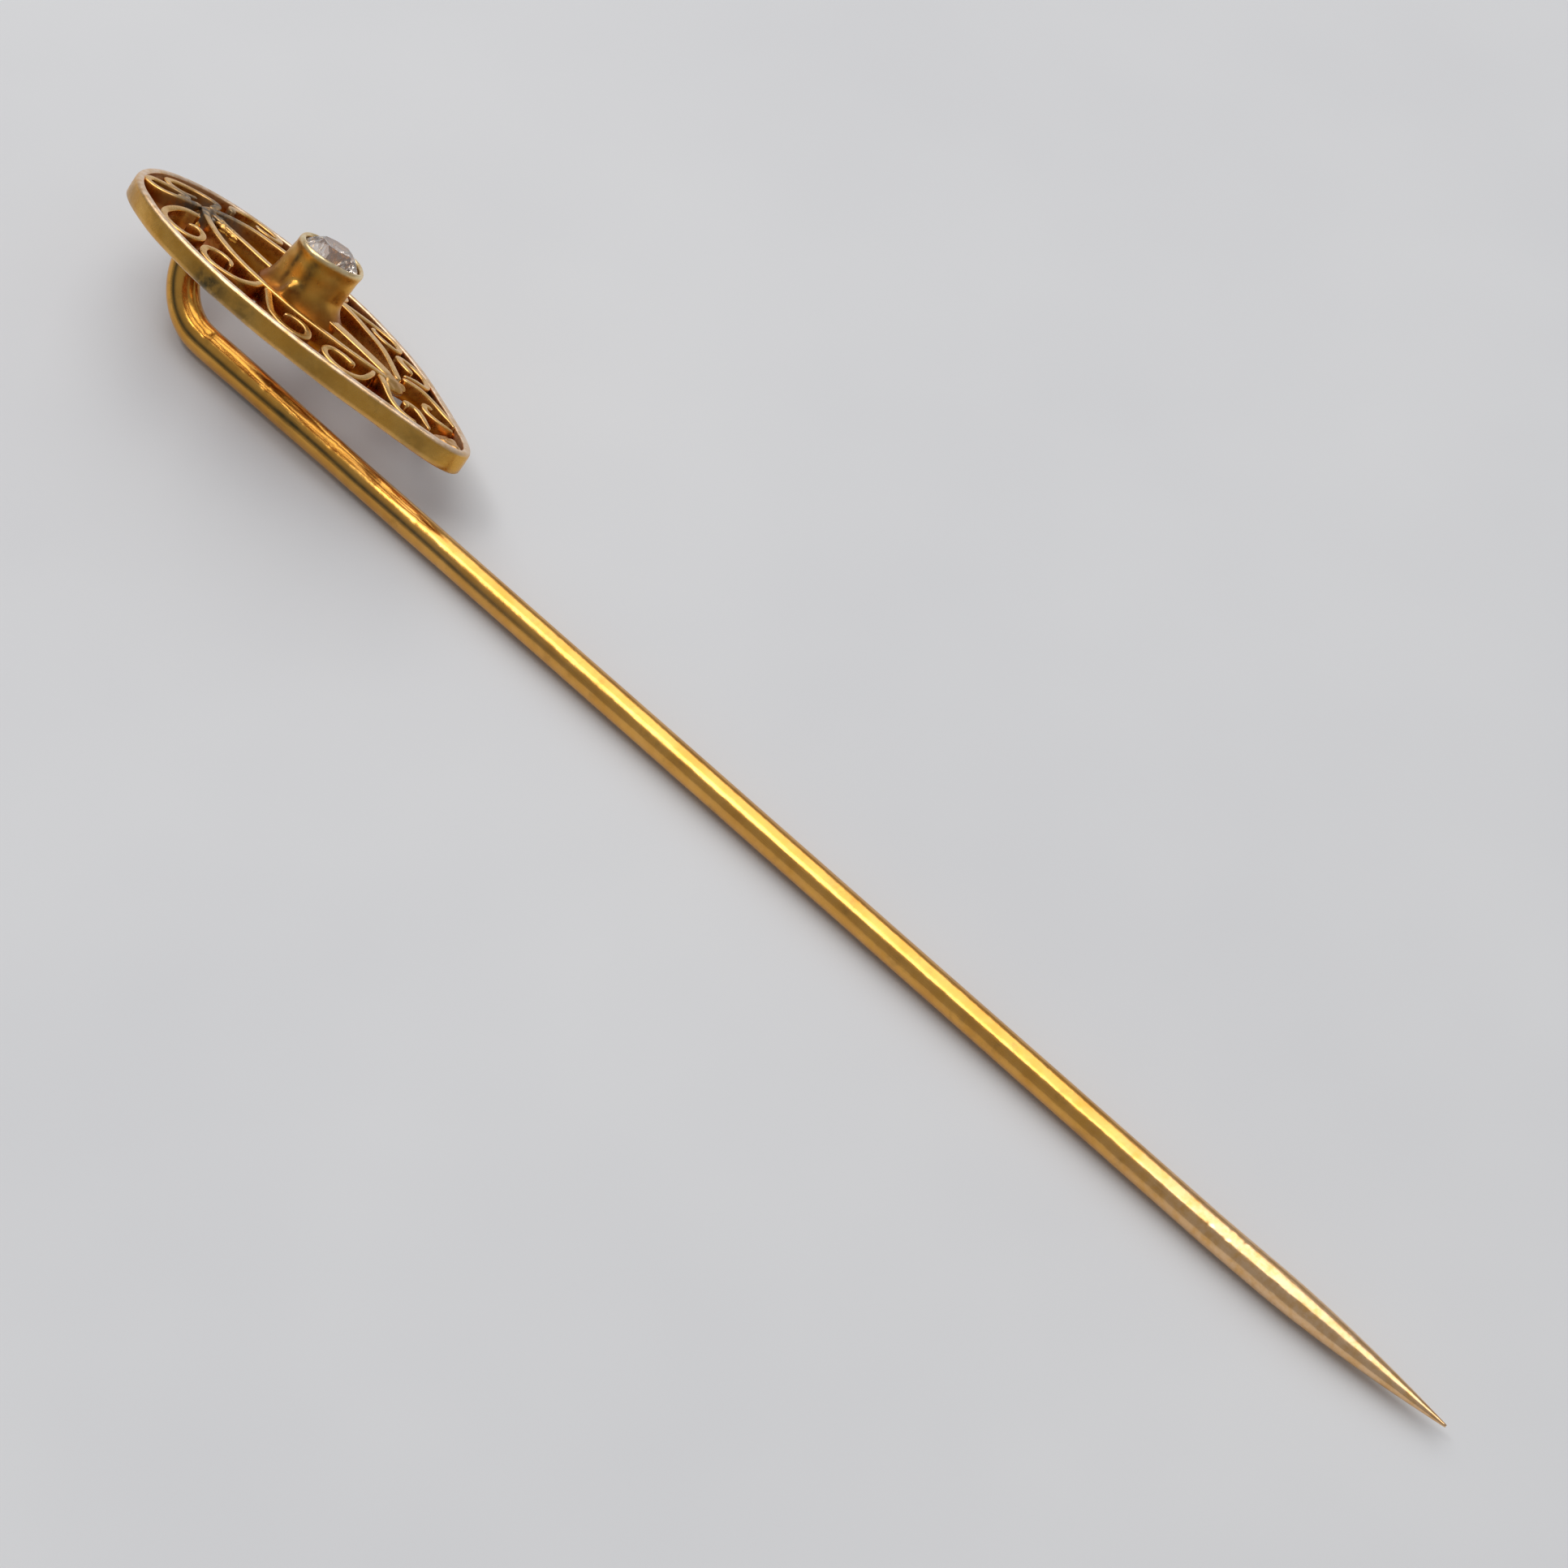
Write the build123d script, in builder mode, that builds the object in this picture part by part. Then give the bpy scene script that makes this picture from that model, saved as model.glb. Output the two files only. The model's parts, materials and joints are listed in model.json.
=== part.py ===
from build123d import *
import os
from math import asin, atan2, cos, hypot, radians, sin

# Stick pin with an openwork pear-shaped head, lying at rest on a table.
# Millimetres, +Z up.  +X runs along the stem toward the point.
# The head is drawn flat on its own plane: u runs from the round end to the
# narrow tip, w runs across, and 0 is the top face of the rim.

# ---- overall sizes ----
pin_length = 63.5
head_length = 16.65
head_width = 8.6

# ---- head ----
rim_height = 0.78
rim_thickness = 0.33
wire_thickness = 0.28
wire_height = 0.60
contact_gap = 0.01

# ---- stem ----
stem_radius = 0.56
neck_radius = 0.60
neck_end = 12.0
bend_radius = 2.3
bend_start = 3.0
stem_drop = 3.72
point_length = 7.0
point_radius = 0.06
point_swell = 0.62
point_slope = 0.12
head_pitch = 1.3

# ---- setting ----
setting_place = 7.9
cup_radius = 1.31
cup_wall = 0.27
cup_top = 1.85
cup_flare = 0.11
cup_foot_top = 0.10
girdle_radius = 1.0
ledge_width = 0.23
girdle_depth = 0.16
girdle_thickness = 0.06
table_radius = 0.58
crown_height = 0.36
pavilion_depth = 0.85
culet_radius = 0.12
facets = 8

# ---- where the inner wires start and end, along the head ----
tip_fill_length = 1.55
fork_place = 2.75
tail_place = 12.75
pad_radius = 0.42
tail_pad_radius = 0.40
bead_radius = 0.17
bead_1_place = (3.55, 0.03)
bead_2_place = (3.98, -0.04)

# the stone's bore and the ledge it sits on go with the stone, the foot with the cup
ledge_radius = girdle_radius - ledge_width
cup_foot_radius = cup_radius + cup_flare

# the head leans until its rim touches the table the stem lies on
widest_share = 0.42
widest_place = widest_share * head_length
half_width = head_width / 2
pitch = radians(head_pitch)
drop_at_widest = stem_drop - widest_place * pitch
back_drop = drop_at_widest - rim_height
lean = atan2(back_drop, half_width) + asin(neck_radius / hypot(back_drop, half_width))

head_plane = Plane(
    origin=(0, stem_drop * sin(lean), neck_radius + stem_drop * cos(lean)),
    x_dir=(cos(pitch), -sin(pitch) * sin(lean), -sin(pitch) * cos(lean)),
    z_dir=(sin(pitch), cos(pitch) * sin(lean), cos(pitch) * cos(lean)),
)

# ---- outline of the head: share of the length, share of the half width ----
pear_half = (
    (0.054, 0.533),
    (0.205, 0.879),
    (0.423, 1.0),
    (0.655, 0.842),
    (0.853, 0.488),
    (0.976, 0.186),
)


def pear_points(side):
    return [(a * head_length, side * b * half_width) for a, b in pear_half]


pear_edge = Spline(
    (0, 0),
    *pear_points(1),
    (head_length, 0),
    *pear_points(-1)[::-1],
    periodic=True,
)
pear_steps = 60
wire_steps = 24


def side_points(curve, steps, amount, closed=False):
    """Points beside a flat curve, amount to the left of its direction."""
    count = steps if closed else steps + 1
    found = []
    for i in range(count):
        point = curve @ (i / steps)
        along = curve % (i / steps)
        found.append((point.X - amount * along.Y, point.Y + amount * along.X))
    return found


def pear_face(inset):
    with BuildSketch() as pear:
        with BuildLine():
            Spline(*side_points(pear_edge, pear_steps, -inset, closed=True), periodic=True)
        make_face()
    return pear.sketch


outer_face = pear_face(0)
inner_face = pear_face(rim_thickness)
open_face = pear_face(rim_thickness + contact_gap)


def raised(face, height):
    """A flat face of the head made into a piece whose top is level with the rim."""
    with BuildPart() as solid:
        with BuildSketch(head_plane.offset(-height)):
            add(face)
        extrude(amount=height)
    return solid.part


def make_rim():
    with BuildSketch() as band:
        add(outer_face)
        add(inner_face, mode=Mode.SUBTRACT)
    return raised(band.sketch, rim_height)


def tip_fill_face():
    with BuildSketch() as fill:
        add(open_face)
        with Locations((head_length - tip_fill_length, 0)):
            Rectangle(head_length, head_width, align=(Align.MIN, Align.CENTER), mode=Mode.INTERSECT)
    return fill.sketch


# ---- the wires inside the rim ----
# Each is a strip on edge, drawn by its centre line, far side; the near side
# is its mirror.  The points are where the smith turned the wire.
frame_path = ((2.95, 0.50), (4.4, 1.62), (6.7, 2.22), (9.6, 1.95), (12.45, 0.55))
scroll_1_path = ((3.55, 1.56), (3.02, 2.4), (3.3, 3.10), (4.1, 3.42), (4.78, 3.2),
                 (4.75, 2.68), (4.28, 2.52), (4.02, 2.78))
scroll_2_path = ((7.45, 2.38), (7.42, 3.1), (6.8, 3.60), (6.05, 3.68), (5.45, 3.2),
                 (5.75, 2.72), (6.3, 2.75), (6.5, 3.05))
scroll_3_path = ((8.0, 2.38), (8.6, 3.0), (9.3, 3.42), (10.0, 3.38), (10.45, 2.95),
                 (10.15, 2.52), (9.65, 2.5), (9.4, 2.82))
scroll_4_path = ((12.05, 1.80), (11.5, 1.88), (11.15, 2.25), (11.5, 2.66), (12.1, 2.60),
                 (12.62, 2.1), (12.62, 1.5), (12.3, 1.02))
tail_path = ((12.95, 0.62), (13.4, 1.10), (14.0, 1.36), (14.9, 1.22))
tip_scroll_path = ((14.08, 0.86), (13.86, 0.62), (14.02, 0.34), (14.4, 0.30), (14.98, 0.62))
lyre_path = ((2.42, 0.72), (2.2, 1.45), (1.6, 1.80), (1.05, 1.60), (0.98, 1.1),
             (1.4, 0.72), (1.85, 0.82), (1.75, 1.22))
upper_spine = ((3.2, 0), (setting_place - cup_foot_radius - contact_gap, 0))
lower_spine = ((setting_place + cup_foot_radius + contact_gap, 0), (12.32, 0))
lower_spine_thickness = 0.44

# the first scroll of the +w side sits closer to the round end
far_scroll_shift = -0.45


def mirrored(path):
    return tuple((u, -w) for u, w in path)


def shifted(path, along):
    return tuple((u + along, w) for u, w in path)


def wire_face(path, thickness, trims=()):
    centre = Spline(*path) if len(path) > 2 else Line(*path)
    steps = wire_steps if len(path) > 2 else 1
    left = side_points(centre, steps, thickness / 2)
    right = side_points(centre, steps, -thickness / 2)[::-1]
    with BuildSketch() as wire:
        with BuildLine():
            if steps > 1:
                Spline(*left)
                Line(left[-1], right[0])
                Spline(*right)
                Line(right[-1], left[0])
            else:
                Polyline(*left, *right, close=True)
        make_face()
        add(open_face, mode=Mode.INTERSECT)
        for trim in trims:
            add(trim, mode=Mode.SUBTRACT)
    return wire.sketch


def pad_face(place, radius):
    with BuildSketch() as pad:
        with Locations((place, 0)):
            Circle(radius)
    return pad.sketch


def make_bead(place):
    with BuildPart() as bead:
        with Locations(head_plane.location):
            with Locations((*place, bead_radius + contact_gap)):
                Sphere(bead_radius)
    return bead.part


def setting_plane():
    return Plane(head_plane.location * Location((setting_place, 0, 0)))


def make_cup():
    seat = cup_top - girdle_depth - girdle_thickness
    with BuildPart() as cup:
        with BuildSketch(setting_plane() * Location((0, 0, 0), (90, 0, 0))):
            with BuildLine():
                Polyline(
                    (ledge_radius, cup_foot_top),
                    (cup_foot_radius - cup_wall / 2, cup_foot_top),
                    (cup_radius, cup_top - cup_wall),
                    (cup_radius, cup_top - cup_wall / 3),
                    (cup_radius - cup_wall / 3, cup_top),
                    (girdle_radius + contact_gap, cup_top),
                    (girdle_radius + contact_gap, seat),
                    (ledge_radius, seat - cup_wall),
                    (ledge_radius, cup_foot_top),
                )
            make_face()
        revolve(axis=Axis(setting_plane().origin, setting_plane().z_dir))
    return cup.part


def make_foot():
    with BuildPart() as foot:
        with BuildSketch(setting_plane().offset(-wire_height)):
            Circle(cup_foot_radius)
            Circle(ledge_radius, mode=Mode.SUBTRACT)
        extrude(amount=wire_height + cup_foot_top - contact_gap)
    return foot.part


def make_stone():
    girdle_bottom = cup_top - girdle_depth - girdle_thickness + 2 * contact_gap
    with BuildPart() as stone:
        with BuildSketch(setting_plane().offset(girdle_bottom)):
            RegularPolygon(girdle_radius, facets)
        extrude(amount=girdle_thickness)
        with BuildSketch(setting_plane().offset(girdle_bottom + girdle_thickness)):
            RegularPolygon(girdle_radius, facets)
        with BuildSketch(setting_plane().offset(girdle_bottom + girdle_thickness + crown_height)):
            RegularPolygon(table_radius, facets)
        loft()
        with BuildSketch(setting_plane().offset(girdle_bottom)):
            RegularPolygon(girdle_radius, facets)
        with BuildSketch(setting_plane().offset(girdle_bottom - pavilion_depth)):
            RegularPolygon(culet_radius, facets)
        loft()
    return stone.part


def make_stem():
    arc_end = bend_start + bend_radius
    point_start = pin_length - point_length
    mid_turn = radians(45)
    with BuildPart() as stem:
        # root and bend, rising in the leaning plane of the head's middle line
        side_plane = Plane(origin=(0, 0, neck_radius), x_dir=(1, 0, 0),
                           z_dir=(0, -cos(lean), sin(lean)))
        root = stem_drop - bend_start * pitch - rim_height - contact_gap
        with BuildLine(side_plane) as centre:
            Line((bend_start, root), (bend_start, bend_radius))
            ThreePointArc(
                (bend_start, bend_radius),
                (arc_end - bend_radius * cos(mid_turn), bend_radius * (1 - sin(mid_turn))),
                (arc_end, 0),
            )
        root_plane = Plane(centre.line @ 0, z_dir=centre.line % 0)
        with BuildSketch(root_plane):
            Circle(neck_radius)
        sweep(path=centre.line)
        # straight shank with its long point
        with BuildSketch(Plane(origin=(0, 0, neck_radius), x_dir=(1, 0, 0), z_dir=(0, -1, 0))):
            with BuildLine():
                Polyline((arc_end, 0), (arc_end, neck_radius), (neck_end, stem_radius),
                         (point_start, stem_radius))
                Spline((point_start, stem_radius),
                       (point_start + point_length / 2, point_swell * stem_radius),
                       (pin_length, point_radius), tangents=[(1, 0), (1, -point_slope)])
                Polyline((pin_length, point_radius), (pin_length, 0), (arc_end, 0))
            make_face()
        revolve(axis=Axis((0, 0, neck_radius), (1, 0, 0)))
    return stem.part


# ---- flat faces of everything inside the rim, each cut back from the last ----
flat = {}
flat["tip_solder"] = tip_fill_face()
flat["fork_solder"] = pad_face(fork_place, pad_radius)
flat["tail_solder"] = pad_face(tail_place, tail_pad_radius)
ends = [flat["fork_solder"], flat["tail_solder"]]
for side_name, turn in (("far", tuple), ("near", mirrored)):
    frame = wire_face(turn(frame_path), wire_thickness, ends)
    first_path = shifted(turn(scroll_1_path), far_scroll_shift if side_name == "far" else 0)
    first = wire_face(first_path, wire_thickness, [*ends, frame])
    second = wire_face(turn(scroll_2_path), wire_thickness, [frame, first])
    third = wire_face(turn(scroll_3_path), wire_thickness, [frame, second])
    fourth = wire_face(turn(scroll_4_path), wire_thickness, [frame, third, *ends])
    tail = wire_face(turn(tail_path), wire_thickness, [fourth, *ends, flat["tip_solder"]])
    tip = wire_face(turn(tip_scroll_path), wire_thickness, [tail, flat["tip_solder"]])
    lyre = wire_face(turn(lyre_path), wire_thickness, [*ends, first])
    flat[f"frame_{side_name}"] = frame
    flat[f"scroll_1_{side_name}"] = first
    flat[f"scroll_2_{side_name}"] = second
    flat[f"scroll_3_{side_name}"] = third
    flat[f"scroll_4_{side_name}"] = fourth
    flat[f"tail_{side_name}"] = tail
    flat[f"tip_scroll_{side_name}"] = tip
    flat[f"lyre_{side_name}"] = lyre
flat["upper_spine"] = wire_face(upper_spine, wire_thickness, ends)
flat["lower_spine"] = wire_face(lower_spine, lower_spine_thickness, ends)

pieces = {name: raised(face, wire_height) for name, face in flat.items()}
pieces["fork_solder"] = raised(flat["fork_solder"], rim_height)
pieces["rim_band"] = make_rim()
pieces["setting_foot"] = make_foot()
pieces["setting_cup"] = make_cup()
pieces["stone"] = make_stone()
pieces["bead_1"] = make_bead(bead_1_place)
pieces["bead_2"] = make_bead(bead_2_place)
pieces["stem"] = make_stem()

# stand the pin on z = 0 with x = 0 and y = 0 in the middle of its box
box = Compound([solid for piece in pieces.values() for solid in piece.solids()]).bounding_box()
rest = Location((-box.center().X, -box.center().Y, -box.min.Z))
os.makedirs("parts", exist_ok=True)
for name, piece in pieces.items():
    placed = piece.moved(rest)
    placed.label = name
    export_step(placed, f"parts/{name}.step")
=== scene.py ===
import json
from math import asin, atan2, cos, exp, hypot, pi, radians, sin

import bmesh
import bpy
import numpy as np
from mathutils import Matrix, Vector, noise


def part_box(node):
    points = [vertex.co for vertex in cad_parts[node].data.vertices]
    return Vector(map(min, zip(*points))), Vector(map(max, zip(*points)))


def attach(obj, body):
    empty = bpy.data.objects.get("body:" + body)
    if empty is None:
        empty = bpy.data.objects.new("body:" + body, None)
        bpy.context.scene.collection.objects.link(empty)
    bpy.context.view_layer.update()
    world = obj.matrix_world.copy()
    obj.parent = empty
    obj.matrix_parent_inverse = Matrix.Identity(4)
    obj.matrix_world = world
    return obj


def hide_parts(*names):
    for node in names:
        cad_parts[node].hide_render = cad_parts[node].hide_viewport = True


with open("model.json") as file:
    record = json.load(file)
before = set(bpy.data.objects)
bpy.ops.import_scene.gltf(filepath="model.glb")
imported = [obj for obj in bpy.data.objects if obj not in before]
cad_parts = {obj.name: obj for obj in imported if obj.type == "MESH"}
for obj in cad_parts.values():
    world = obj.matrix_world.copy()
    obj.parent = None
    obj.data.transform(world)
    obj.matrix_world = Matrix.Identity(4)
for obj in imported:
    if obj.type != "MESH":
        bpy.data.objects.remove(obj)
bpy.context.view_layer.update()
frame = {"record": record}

# Lengths are millimetres until a mesh is made.  The head is described on its own
# plane: u runs from the round end to the narrow tip, w runs across, n is up out
# of the head, and n = 0 is the top of the rim.
MM = 0.001

# ---- sizes shared with the CAD model ----
PIN_LENGTH = 63.5
HEAD_LENGTH = 16.65
HEAD_WIDTH = 8.6
RIM_HEIGHT = 0.78
RIM_THICKNESS = 0.33
WIRE_THICKNESS = 0.28
WIRE_HEIGHT = 0.72
STEM_RADIUS = 0.56
NECK_RADIUS = 0.60
NECK_END = 12.0
BEND_RADIUS = 2.3
BEND_START = 3.0
STEM_DROP = 3.72
POINT_LENGTH = 7.0
POINT_RADIUS = 0.05
POINT_OFFSET = 0.27
HEAD_PITCH = radians(1.3)
SETTING_PLACE = 7.9
FORK_PLACE = 2.75
TAIL_PLACE = 12.75
WIDEST_PLACE = 0.42 * HEAD_LENGTH

# ---- where the head sits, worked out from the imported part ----
stem_mount = next(m for m in frame["record"]["mounts"] if m["name"] == "stem")
AXIS_Y = stem_mount["pos_m"][1] / MM
AXIS_Z = stem_mount["pos_m"][2] / MM
START_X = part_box("stem")[1].x / MM - PIN_LENGTH

back_drop = STEM_DROP - WIDEST_PLACE * HEAD_PITCH - RIM_HEIGHT
LEAN = atan2(back_drop, HEAD_WIDTH / 2) + asin(NECK_RADIUS / hypot(back_drop, HEAD_WIDTH / 2))
along_head = np.array((cos(HEAD_PITCH), -sin(HEAD_PITCH) * sin(LEAN), -sin(HEAD_PITCH) * cos(LEAN)))
out_of_head = np.array((sin(HEAD_PITCH), cos(HEAD_PITCH) * sin(LEAN), cos(HEAD_PITCH) * cos(LEAN)))
across_head = np.cross(out_of_head, along_head)
HEAD_ORIGIN = np.array((START_X, AXIS_Y + STEM_DROP * sin(LEAN), AXIS_Z + STEM_DROP * cos(LEAN)))
HEAD_TURN = np.stack([along_head, across_head, out_of_head])


def from_head(points):
    """Head points (u, w, n) as points of the row frame."""
    return np.asarray(points, float) @ HEAD_TURN + HEAD_ORIGIN


# ---- small helpers ----
def wobble(x, y=0.0, z=0.0):
    return noise.noise(Vector((x, y, z)))


def wobbles(points, scale, shift=0.0):
    return np.array([wobble(*(np.asarray(p) * scale + shift)) for p in points])


def smoothstep(low, high, x):
    t = np.clip((x - low) / (high - low), 0.0, 1.0)
    return t * t * (3 - 2 * t)


def curve_through(points, step, closed=False):
    """Evenly spaced points on a smooth curve through the given points."""
    p = np.array(points, float)
    if closed:
        p = np.vstack([p[-1], p, p[0], p[1]])
    else:
        p = np.vstack([2 * p[0] - p[1], p, 2 * p[-1] - p[-2]])
    fine = []
    for a, b, c, d in zip(p, p[1:], p[2:], p[3:]):
        knots = [0.0]
        for q, r in ((a, b), (b, c), (c, d)):
            knots.append(knots[-1] + max(np.linalg.norm(r - q), 1e-6) ** 0.5)
        t0, t1, t2, t3 = knots
        t = np.linspace(t1, t2, 40, endpoint=False)[:, None]
        a1 = (t1 - t) / (t1 - t0) * a + (t - t0) / (t1 - t0) * b
        a2 = (t2 - t) / (t2 - t1) * b + (t - t1) / (t2 - t1) * c
        a3 = (t3 - t) / (t3 - t2) * c + (t - t2) / (t3 - t2) * d
        b1 = (t2 - t) / (t2 - t0) * a1 + (t - t0) / (t2 - t0) * a2
        b2 = (t3 - t) / (t3 - t1) * a2 + (t - t1) / (t3 - t1) * a3
        fine.append((t2 - t) / (t2 - t1) * b1 + (t - t1) / (t2 - t1) * b2)
    fine = np.vstack(fine + [p[-2][None]])
    gone = np.concatenate([[0], np.cumsum(np.linalg.norm(np.diff(fine, axis=0), axis=1))])
    count = max(int(gone[-1] / step), 6)
    at = np.linspace(0, gone[-1], count + 1)
    out = np.stack([np.interp(at, gone, fine[:, k]) for k in range(fine.shape[1])], 1)
    return out[:-1] if closed else out


def directions(line, closed=False):
    if closed:
        d = np.roll(line, -1, 0) - np.roll(line, 1, 0)
    else:
        d = np.gradient(line, axis=0)
    return d / np.linalg.norm(d, axis=1)[:, None]


def ring_faces(rings, size, closed_line, cap):
    faces = []
    last = rings if closed_line else rings - 1
    for i in range(last):
        a, b = i * size, ((i + 1) % rings) * size
        for k in range(size):
            m = (k + 1) % size
            faces.append((a + k, a + m, b + m, b + k))
    if cap:
        faces.append(tuple(range(size))[::-1])
        faces.append(tuple((rings - 1) * size + k for k in range(size)))
    return faces


def make_piece(name, points, faces, material, wear_and_sheen=None, solder=None, recess_shade=None, stain_and_shade=None,
               smooth=True):
    """A mesh piece in the row frame, with how worn (partly a painted sheen), soldered, painted with
    hollow shade and stained or painted dark each vertex is.
    """
    mesh = bpy.data.meshes.new(name)
    mesh.from_pydata([tuple(p) for p in np.asarray(points) * MM], [], [tuple(f) for f in faces])
    for title, values in (("wear_and_sheen", wear_and_sheen), ("solder", solder), ("recess_shade", recess_shade), ("stain_and_shade", stain_and_shade)):
        layer = mesh.attributes.new(title, "FLOAT", "POINT")
        if values is not None:
            layer.data.foreach_set("value", np.asarray(values, np.float32))
    mesh.materials.append(material)
    shape = bmesh.new()
    shape.from_mesh(mesh)
    bmesh.ops.recalc_face_normals(shape, faces=shape.faces)
    shape.to_mesh(mesh)
    shape.free()
    mesh.polygons.foreach_set("use_smooth", [smooth] * len(mesh.polygons))
    piece = bpy.data.objects.new(name, mesh)
    bpy.context.scene.collection.objects.link(piece)
    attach(piece, "root")
    return piece


# ---- materials ----
class Nodes:
    """Short names for the few node kinds that the metals share."""

    def __init__(self, name):
        self.material = bpy.data.materials.new(name)
        self.material.use_nodes = True
        self.tree = self.material.node_tree
        self.shader = self.tree.nodes["Principled BSDF"]
        place = self.tree.nodes.new("ShaderNodeTexCoord")
        scale = self.tree.nodes.new("ShaderNodeVectorMath")
        scale.operation = "SCALE"
        scale.inputs["Scale"].default_value = 1 / MM
        self.link(place.outputs["Object"], scale.inputs[0])
        self.place = scale.outputs[0]

    def link(self, a, b):
        self.tree.links.new(a, b)

    def stretched(self, stretch):
        node = self.tree.nodes.new("ShaderNodeVectorMath")
        node.operation = "MULTIPLY"
        node.inputs[1].default_value = stretch
        self.link(self.place, node.inputs[0])
        return node.outputs[0]

    def noise(self, scale, detail=4.0, rough=0.55, place=None):
        node = self.tree.nodes.new("ShaderNodeTexNoise")
        node.inputs["Scale"].default_value = scale
        node.inputs["Detail"].default_value = detail
        node.inputs["Roughness"].default_value = rough
        self.link(self.place if place is None else place, node.inputs["Vector"])
        return node.outputs["Fac"]

    def span(self, value, low, high, to_low=0.0, to_high=1.0):
        node = self.tree.nodes.new("ShaderNodeMapRange")
        limits = (("From Min", low), ("From Max", high), ("To Min", to_low), ("To Max", to_high))
        for socket, number in limits:
            node.inputs[socket].default_value = number
        self.link(value, node.inputs["Value"])
        return node.outputs["Result"]

    def math(self, kind, a, b):
        node = self.tree.nodes.new("ShaderNodeMath")
        node.operation = kind
        for socket, value in zip(node.inputs, (a, b)):
            if isinstance(value, (int, float)):
                socket.default_value = value
            else:
                self.link(value, socket)
        return node.outputs[0]

    def mix(self, share, a, b):
        node = self.tree.nodes.new("ShaderNodeMix")
        node.data_type = "RGBA"
        self.link(share, node.inputs["Factor"])
        for socket, value in ((node.inputs[6], a), (node.inputs[7], b)):
            if isinstance(value, tuple):
                socket.default_value = (*value, 1.0)
            else:
                self.link(value, socket)
        return node.outputs[2]

    def attribute(self, name):
        node = self.tree.nodes.new("ShaderNodeAttribute")
        node.attribute_name = name
        return node.outputs["Fac"]


SOLDER_GREY = (0.20, 0.155, 0.115)
# the tarnish colour; the stain_and_shade marks also use it as painted shade and painted dark reflection
TARNISH_AND_SHADE = (0.10, 0.075, 0.032)
BUMP_DEPTH = 0.03


def gold(name, base, deep, recess_shade, edge, rough=0.2, scratch=(1, 1, 1), dents=1.0, grain=0.05,
         tarnish_share=0.5, steady=0.25, worn_rough=0.0):
    """Worn yellow gold: cloudy colour, painted shade in the hollows, tarnish and painted shade marks,
    pale rubbed edges that are partly a painted sheen, grey near solder.

    steady is how unbroken the stains and painted shade marks are, and worn_rough how much rougher the
    rubbed edges are.
    """
    n = Nodes(name)
    cloud = n.span(n.noise(0.8, 4.0), 0.36, 0.66)
    colour = n.mix(cloud, base, deep)
    patch = n.span(n.noise(1.3, 6.0, 0.62), 0.56, 0.74)
    # real tarnish patches, and the stain attribute, which holds real stains and also painted shade and
    # painted dark reflections
    stain_share = n.span(n.noise(2.6, 6.0, 0.62), 0.38, 0.56, steady, 1.0)
    stain_and_shade = n.math("MULTIPLY", n.attribute("stain_and_shade"), stain_share)
    dirt_and_shade = n.math("MAXIMUM", n.math("MULTIPLY", patch, tarnish_share), stain_and_shade)
    colour = n.mix(dirt_and_shade, colour, TARNISH_AND_SHADE)
    # painted shade: hollows and low walls darken toward the deep orange of light bounced between gold
    # walls
    hollow_shade_share = n.span(n.noise(1.9, 5.0, 0.6), 0.30, 0.62, 0.78, 1.0)
    hollow_shade = n.math("MULTIPLY", n.attribute("recess_shade"), hollow_shade_share)
    colour = n.mix(hollow_shade, colour, recess_shade)
    # pale rubbed edges: real wear, and on the rim and the stem's point also a painted highlight
    rubbed_share = n.span(n.noise(3.0, 5.0, 0.6), 0.30, 0.60, 0.35, 1.0)
    rubbed_and_sheen = n.math("MULTIPLY", n.attribute("wear_and_sheen"), rubbed_share)
    colour = n.mix(rubbed_and_sheen, colour, edge)
    grey_share = n.span(n.noise(3.4, 5.0, 0.6), 0.34, 0.56, 0.35, 1.0)
    grey = n.math("MULTIPLY", n.attribute("solder"), grey_share)
    colour = n.mix(grey, colour, SOLDER_GREY)
    n.link(colour, n.shader.inputs["Base Color"])
    n.shader.inputs["Metallic"].default_value = 1.0
    fine = n.noise(7.0, 5.0, 0.6, n.stretched(scratch))
    roughness = n.span(fine, 0.3, 0.7, rough - 0.05, rough + 0.08)
    roughness = n.math("ADD", roughness, n.math("MULTIPLY", grey, 0.22))
    roughness = n.math("ADD", roughness, n.math("MULTIPLY", dirt_and_shade, 0.14))
    roughness = n.math("ADD", roughness, n.math("MULTIPLY", rubbed_and_sheen, worn_rough))
    n.link(roughness, n.shader.inputs["Roughness"])
    low = n.noise(1.5, 2.0, 0.5)
    height = n.math("ADD", n.math("MULTIPLY", low, dents), n.math("MULTIPLY", fine, grain))
    bump = n.tree.nodes.new("ShaderNodeBump")
    bump.inputs["Strength"].default_value = 1.0
    bump.inputs["Distance"].default_value = BUMP_DEPTH * MM
    n.link(height, bump.inputs["Height"])
    n.link(bump.outputs["Normal"], n.shader.inputs["Normal"])
    return n.material


def clear_stone():
    n = Nodes("stone")
    n.shader.inputs["Transmission Weight"].default_value = 0.86
    n.shader.inputs["IOR"].default_value = 1.95
    tint = n.mix(n.span(n.noise(1.6), 0.35, 0.65), (0.94, 0.81, 0.71), (0.82, 0.69, 0.59))
    n.link(tint, n.shader.inputs["Base Color"])
    n.link(n.span(n.noise(6.0), 0.3, 0.7, 0.02, 0.07), n.shader.inputs["Roughness"])
    return n.material


def plain_floor():
    n = Nodes("floor")
    colour = n.mix(n.span(n.noise(0.05, 3.0), 0.3, 0.7), (0.66, 0.665, 0.68), (0.70, 0.705, 0.715))
    n.link(colour, n.shader.inputs["Base Color"])
    n.shader.inputs["Roughness"].default_value = 0.5
    return n.material


# painted shade: the deep orange of light bounced about inside the hollows
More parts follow.
